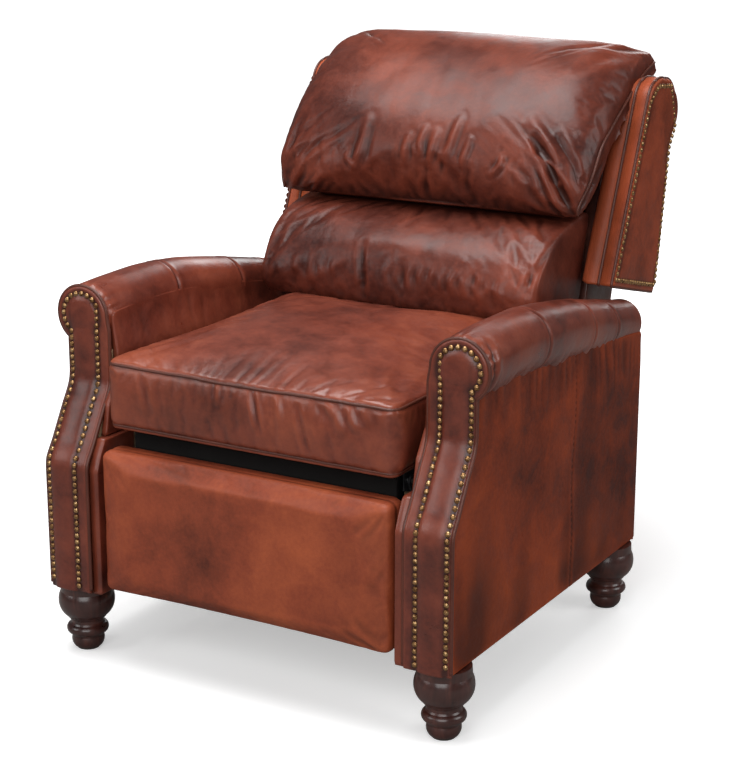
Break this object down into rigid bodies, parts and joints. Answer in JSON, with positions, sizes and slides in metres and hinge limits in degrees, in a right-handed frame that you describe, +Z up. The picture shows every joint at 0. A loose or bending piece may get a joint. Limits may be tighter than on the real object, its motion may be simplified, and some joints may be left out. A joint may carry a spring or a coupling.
{
  "type": "recliner armchair",
  "caption": "Push-back recliner with rolled arms, wings, pillow back and turned feet, whose seat slides forward as the footrest unfolds and whose back reclines.",
  "frame": {"origin": "on the floor under the middle of the closed chair, at the centre of its bounding box in plan", "axes": "+X to the left side of someone seated, +Y to the rear, +Z up"},
  "size_m": [0.836, 0.9745, 1.0447],
  "materials": {
    "seat_leather": "burnished oxblood leather, semi-gloss, soft grain",
    "arm_leather": "burnished oxblood leather drawn tight over the frame",
    "brass_nails": "antiqued brass domes with dark rims",
    "turned_wood": "dark mahogany stain under satin lacquer",
    "frame_wood": "bare poplar and plywood",
    "mechanism_steel": "black powder coat, worn at the pivots",
    "rivet_steel": "zinc plated",
    "glide_plastic": "moulded glide"
  },
  "bodies": {
    "chassis": {"arm_board_left": "frame_wood", "arm_board_right": "frame_wood", "arm_post_left": "frame_wood", "arm_post_right": "frame_wood", "arm_outer_panel_left": "arm_leather", "arm_outer_panel_right": "arm_leather", "arm_inner_panel_left": "arm_leather", "arm_inner_panel_right": "arm_leather", "arm_roll_left": "arm_leather", "arm_roll_right": "arm_leather", "arm_facing_left": "arm_leather", "arm_facing_right": "arm_leather", "facing_nails_left": "brass_nails", "facing_nails_right": "brass_nails", "foot_front_left": "turned_wood", "foot_front_right": "turned_wood", "foot_rear_left": "turned_wood", "foot_rear_right": "turned_wood", "base_plate_left": "mechanism_steel", "base_plate_right": "mechanism_steel", "foot_glides": "glide_plastic", "front_stretcher": "frame_wood", "rear_stretcher": "frame_wood", "rear_lower_panel": "arm_leather", "base_pins": "rivet_steel"},
    "front_swing": {"front_swing_links": "mechanism_steel"},
    "rear_swing": {"rear_swing_links": "mechanism_steel"},
    "seat": {"seat_rail_left": "mechanism_steel", "seat_rail_right": "mechanism_steel", "seat_front_rail": "frame_wood", "seat_rear_rail": "frame_wood", "seat_springs": "rivet_steel", "seat_cushion": "seat_leather", "seat_pins": "rivet_steel"},
    "lift_links": {"lift_link_left": "mechanism_steel", "lift_link_right": "mechanism_steel", "drive_tube": "mechanism_steel", "lift_link_pins": "rivet_steel"},
    "front_links": {"front_links": "mechanism_steel"},
    "cross_links": {"cross_link_left": "mechanism_steel", "cross_link_right": "mechanism_steel", "cross_link_pins": "rivet_steel"},
    "tie_links": {"tie_links": "mechanism_steel"},
    "footrest": {"footrest_bracket_left": "mechanism_steel", "footrest_bracket_right": "mechanism_steel", "footrest_board": "frame_wood", "footrest_pad": "seat_leather", "footrest_pins": "rivet_steel"},
    "back": {"back_post_left": "frame_wood", "back_post_right": "frame_wood", "back_bracket_left": "mechanism_steel", "back_bracket_right": "mechanism_steel", "wing_left": "arm_leather", "wing_right": "arm_leather", "wing_nails_left": "brass_nails", "wing_nails_right": "brass_nails", "back_board": "frame_wood", "back_outer_panel": "arm_leather", "lumbar_pillow": "seat_leather", "head_pillow": "seat_leather"}
  },
  "joints": [
    {"name": "seat_advance", "type": "hinge", "parent": "chassis", "child": "front_swing", "pos_m": [0, -0.1436, 0.29], "axis": [1, 0, 0], "range_deg": [0, 50]},
    {"name": "seat_level", "type": "hinge", "parent": "front_swing", "child": "seat", "pos_m": [0, -0.10503, 0.33596], "axis": [1, 0, 0], "range_deg": [-50.05, 0]},
    {"name": "rear_swing_turn", "type": "hinge", "parent": "chassis", "child": "rear_swing", "pos_m": [0, 0.0764, 0.29], "axis": [1, 0, 0], "range_deg": [0, 50.05]},
    {"name": "footrest_lift", "type": "hinge", "parent": "seat", "child": "lift_links", "pos_m": [0, -0.312, 0.374], "axis": [1, 0, 0], "range_deg": [-96.61, 0]},
    {"name": "elbow_fold", "type": "hinge", "parent": "lift_links", "child": "front_links", "pos_m": [0, -0.2057, 0.2021], "axis": [1, 0, 0], "range_deg": [0, 95.58]},
    {"name": "footrest_turn", "type": "hinge", "parent": "front_links", "child": "footrest", "pos_m": [0, -0.4127, 0.2828], "axis": [1, 0, 0], "range_deg": [-89.02, 0]},
    {"name": "cross_turn", "type": "hinge", "parent": "seat", "child": "cross_links", "pos_m": [0, -0.3748, 0.4007], "axis": [1, 0, 0], "range_deg": [-96, 0]},
    {"name": "tie_turn", "type": "hinge", "parent": "footrest", "child": "tie_links", "pos_m": [0, -0.388, 0.2348], "axis": [1, 0, 0], "range_deg": [0, 88.56]},
    {"name": "back_recline", "type": "hinge", "parent": "seat", "child": "back", "pos_m": [0, 0.2764, 0.44], "axis": [-1, 0, 0], "range_deg": [0, 30]}
  ],
  "couplings": [
    {"joint": "seat_level", "follows": "seat_advance", "ratio": -1},
    {"joint": "rear_swing_turn", "follows": "seat_advance", "ratio": 1},
    {"joint": "footrest_lift", "follows": "seat_advance", "ratio": -1.9312},
    {"joint": "elbow_fold", "follows": "seat_advance", "ratio": 1.9106},
    {"joint": "footrest_turn", "follows": "seat_advance", "ratio": -1.7794},
    {"joint": "cross_turn", "follows": "seat_advance", "ratio": -1.919},
    {"joint": "tie_turn", "follows": "seat_advance", "ratio": 1.7702}
  ]
}
